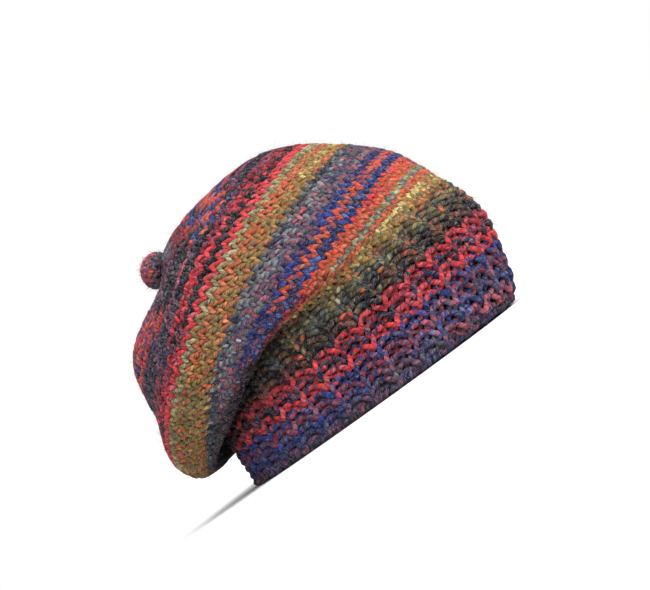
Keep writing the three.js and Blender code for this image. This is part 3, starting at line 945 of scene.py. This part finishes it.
def backing(name, point_at, front_depth, courses, columns, stripes_of, material):
    """A thin dark web behind the loops, as painted shade, with its front at a depth below a face."""
    back_depth = front_depth + WEB_THICKNESS
    rings = [(course, front_depth) for course in courses]
    rings += [(course, back_depth) for course in reversed(courses)]
    turns = np.arange(columns) * TAU / columns
    points = []
    colours = []
    for course, depth in rings:
        here = np.full(columns, float(course))
        face = point_at(here, turns) - depth * outward_of(point_at, here, turns)
        face[:, 2] = np.maximum(face[:, 2], WEB_FLOOR_GAP)
        points.append(face)
        plies = ply_colours(stripes_of(course, turns), columns)
        # The web takes the stripes' colours, darkened to painted shade between the loops.
        colours.append(WEB_LIGHT * (plies[0] + plies[1]))
    count = len(rings)
    i = np.arange(count)[:, None]
    j = np.arange(columns)[None, :]
    i_next = (i + 1) % count * columns
    j_next = (j + 1) % columns
    quads = np.stack((i * columns + j, i * columns + j_next, i_next + j_next, i_next + j), axis=-1)
    u_low, v_low = np.broadcast_arrays(j / columns, i / count)
    bake_map = quad_corners(u_low, u_low + 1 / columns, v_low, v_low + 1 / count)
    return mesh_object(
        name, np.concatenate(points), quads.reshape(-1, 4), material,
        {"OFBake": bake_map.reshape(-1, 2)}, {"ply_a": np.concatenate(colours)},
    )


def loose_fibres(name, yarns, count, material):
    """Fine curved hairs, each a closed three-sided spike rooted in the yarn."""
    centres, normal, tangent, radius, colour = (
        np.concatenate(parts) for parts in zip(*[root for yarn in yarns for root in yarn.roots])
    )
    pick = random_numbers.integers(0, len(centres), count)
    normal = normal[pick]
    tangent = tangent[pick]
    across = np.cross(tangent, normal)
    lean = random_numbers.normal(0, FIBRE_LEAN, (count, 3))
    swing = random_numbers.uniform(-FIBRE_SWING, FIBRE_SWING, count)[:, None]
    root_way = unit(normal * np.cos(swing) + across * np.sin(swing))
    root = centres[pick] + root_way * radius[pick][:, None] * FIBRE_ROOT_SHARE
    sideways = across * lean[:, 1:2] * FIBRE_SIDEWAYS
    start_way = unit(root_way * FIBRE_OUTWARD + tangent * lean[:, :1] + sideways)
    end_way = unit(start_way + FIBRE_CURL * lean)
    half_reach = random_numbers.gamma(*FIBRE_REACH, count)[:, None] / 2
    middle = root + start_way * half_reach
    tip = middle + end_way * half_reach
    thick = random_numbers.uniform(*FIBRE_RADIUS, count)[:, None, None]
    angles = np.arange(FIBRE_SIDES) * TAU / FIBRE_SIDES
    first = unit(np.cross(start_way, tangent + FIBRE_SKEW))
    second = np.cross(start_way, first)
    ring = np.cos(angles)[None, :, None] * first[:, None] + np.sin(angles)[None, :, None] * second[:, None]
    points = np.concatenate((
        root[:, None] + ring * thick, middle[:, None] + ring * thick * FIBRE_TAPER, tip[:, None],
    ), axis=1)
    points[:, :, 2] = np.maximum(points[:, :, 2], FIBRE_FLOOR_GAP)

    # Corners 0 to 2 are round the root, 3 to 5 round the middle, and 6 is the tip.
    pattern = np.array((
        (0, 1, 3), (1, 4, 3), (1, 2, 4), (2, 5, 4), (2, 0, 5), (0, 3, 5),
        (3, 4, 6), (4, 5, 6), (5, 3, 6), (0, 2, 1),
    ))
    corners = points.shape[1]
    faces = (pattern[None] + corners * np.arange(count)[:, None, None]).reshape(-1, 3)
    across_atlas = math.ceil(math.sqrt(count * len(pattern)))
    cell = np.arange(len(faces))
    cell_low = np.stack((cell % across_atlas, cell // across_atlas), -1)[:, None, :]
    cell_shape = np.array(((0.1, 0.1), (0.9, 0.1), (0.5, 0.9)))[None]
    bake_map = (cell_low + cell_shape) / across_atlas
    return mesh_object(
        name, points.reshape(-1, 3), faces, material,
        {"OFBake": bake_map.reshape(-1, 2)}, {"ply_a": np.repeat(colour[pick], corners, axis=0)},
    )


yarn_wool = yarn_material()
fibre_wool = fibre_material()
shade_backing_wool = shade_backing_material()


def dress(piece, slot, *nodes):
    """Puts a piece on the body, in place of the solids that it is built on. The slot is not used."""
    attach(piece, "root")
    if nodes:
        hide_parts(*nodes)


def knit(name, slot, node, rounds):
    """One piece of knitting from a list of functions that each add a round."""
    yarn = YarnMesh()
    for add_round in rounds:
        add_round(yarn)
    dress(yarn.build(name, yarn_wool), slot, node)
    return yarn


def rounds_of(add_round, first_row, after_row):
    return [lambda mesh, row=row: add_round(mesh, row) for row in range(first_row, after_row)]


band_rounds = [hem_edge, *rounds_of(band_round, 0, BAND_ROWS)]
band = knit("band_knitting", "band_wool", "ribbed_band", band_rounds)
crown = [
    knit(f"crown_knitting_{part}", "crown_wool", "crown", rounds_of(crown_round, first_row, after_row))
    for part, first_row, after_row in CROWN_PARTS
]
knob = knit("knob_knitting", "knob_wool", "top_knob", rounds_of(knob_round, 0, KNOB_ROWS))

band_web_courses = np.linspace(BAND_WEB_START, JOIN_COURSE + WEB_OVERLAP, BAND_WEB_RINGS)
crown_web_courses = np.linspace(JOIN_COURSE - WEB_OVERLAP, LAST_COURSE, CROWN_WEB_RINGS)
knob_web_courses = np.linspace(KNOB_WEB_START, KNOB_ROWS - KNOB_WEB_TOP_GAP, KNOB_WEB_RINGS)
dress(backing(
    "band_shade_backing", outer_point, BAND_WEB_DEPTH, band_web_courses, WEB_COLUMNS,
    band_web_stripes, shade_backing_wool,
), "band_wool")
dress(backing(
    "crown_shade_backing", outer_point, CROWN_WEB_DEPTH, crown_web_courses, WEB_COLUMNS,
    crown_web_stripes, shade_backing_wool,
), "crown_wool")
dress(backing(
    "knob_shade_backing", knob_point, KNOB_WEB_DEPTH, knob_web_courses, KNOB_WEB_COLUMNS,
    knob_stripes, shade_backing_wool,
), "knob_wool")

dress(loose_fibres("band_fibres", [band], BAND_FIBRES, fibre_wool), "band_wool")
dress(loose_fibres("crown_fibres", crown, CROWN_FIBRES, fibre_wool), "crown_wool")
dress(loose_fibres("knob_fibres", [knob], KNOB_FIBRES, fibre_wool), "knob_wool")


# The camera is rolled as the hat is tipped in the picture. It stands a little above the level of
# the hem and looks slightly up.
CAMERA_AZIMUTH = math.radians(-76)
CAMERA_ELEVATION = math.radians(-1)
CAMERA_ROLL = math.radians(35.8)
CAMERA_DISTANCE = 1650.0
CAMERA_TARGET = Vector((-0.12, -13.98, 75.7))
MM_PER_PIXEL = 0.65
IMAGE_WIDTH = 650
SENSOR_WIDTH = 36.0

# One wide soft light from above the camera. The floor's half width is in metres.
KEY_STRENGTH = 5.0
KEY_DEGREES = 50
FLOOR_HALF_WIDTH = 20.0


def add_camera():
    """Adds the camera, and returns the picture's right and up and the way back to the camera."""
    back = Vector((
        math.sin(CAMERA_AZIMUTH) * math.cos(CAMERA_ELEVATION),
        -math.cos(CAMERA_AZIMUTH) * math.cos(CAMERA_ELEVATION),
        math.sin(CAMERA_ELEVATION),
    ))
    right = (-back).cross(Vector((0, 0, 1))).normalized()
    up = right.cross(-back)
    image_right = right * math.cos(CAMERA_ROLL) - up * math.sin(CAMERA_ROLL)
    image_up = right * math.sin(CAMERA_ROLL) + up * math.cos(CAMERA_ROLL)
    data = bpy.data.cameras.new("camera")
    data.sensor_width = SENSOR_WIDTH
    data.lens = SENSOR_WIDTH * CAMERA_DISTANCE / (MM_PER_PIXEL * IMAGE_WIDTH)
    data.clip_start = 0.05
    data.clip_end = 50
    camera = bpy.data.objects.new("camera", data)
    place = Matrix((image_right, image_up, back)).transposed().to_4x4()
    place.translation = (CAMERA_TARGET + back * CAMERA_DISTANCE) * MM
    camera.matrix_world = place
    bpy.context.scene.collection.objects.link(camera)
    bpy.context.scene.camera = camera
    return image_right, image_up, back


def add_sun(name, direction, strength, degrees):
    data = bpy.data.lights.new(name, "SUN")
    data.energy = strength
    data.angle = math.radians(degrees)
    lamp = bpy.data.objects.new(name, data)
    lamp.rotation_mode = "QUATERNION"
    lamp.rotation_quaternion = direction.normalized().to_track_quat("Z", "Y")
    bpy.context.scene.collection.objects.link(lamp)


def add_floor():
    mesh = bpy.data.meshes.new("floor")
    half = FLOOR_HALF_WIDTH
    mesh.from_pydata(
        [(-half, -half, 0), (half, -half, 0), (half, half, 0), (-half, half, 0)], [], [(0, 1, 2, 3)],
    )
    material = bpy.data.materials.new("pale_floor")
    material.use_nodes = True
    shader = material.node_tree.nodes["Principled BSDF"]
    shader.inputs["Base Color"].default_value = (0.7, 0.7, 0.7, 1)
    shader.inputs["Roughness"].default_value = 1.0
    shader.inputs["Specular IOR Level"].default_value = 0.0
    mesh.materials.append(material)
    floor = bpy.data.objects.new("floor", mesh)
    bpy.context.scene.collection.objects.link(floor)


image_right, image_up, back = add_camera()
key_direction = back * 0.6 + image_up * 0.6 + Vector((0, 0, 1)) * 0.4 + image_right * 0.1
add_sun("key", key_direction, KEY_STRENGTH, KEY_DEGREES)
add_floor()

world = bpy.data.worlds.new("studio")
world.use_nodes = True
background = world.node_tree.nodes["Background"]
background.inputs["Color"].default_value = (1, 1, 1, 1)
background.inputs["Strength"].default_value = 1.0
bpy.context.scene.world = world
bpy.context.scene.view_settings.view_transform = "Standard"
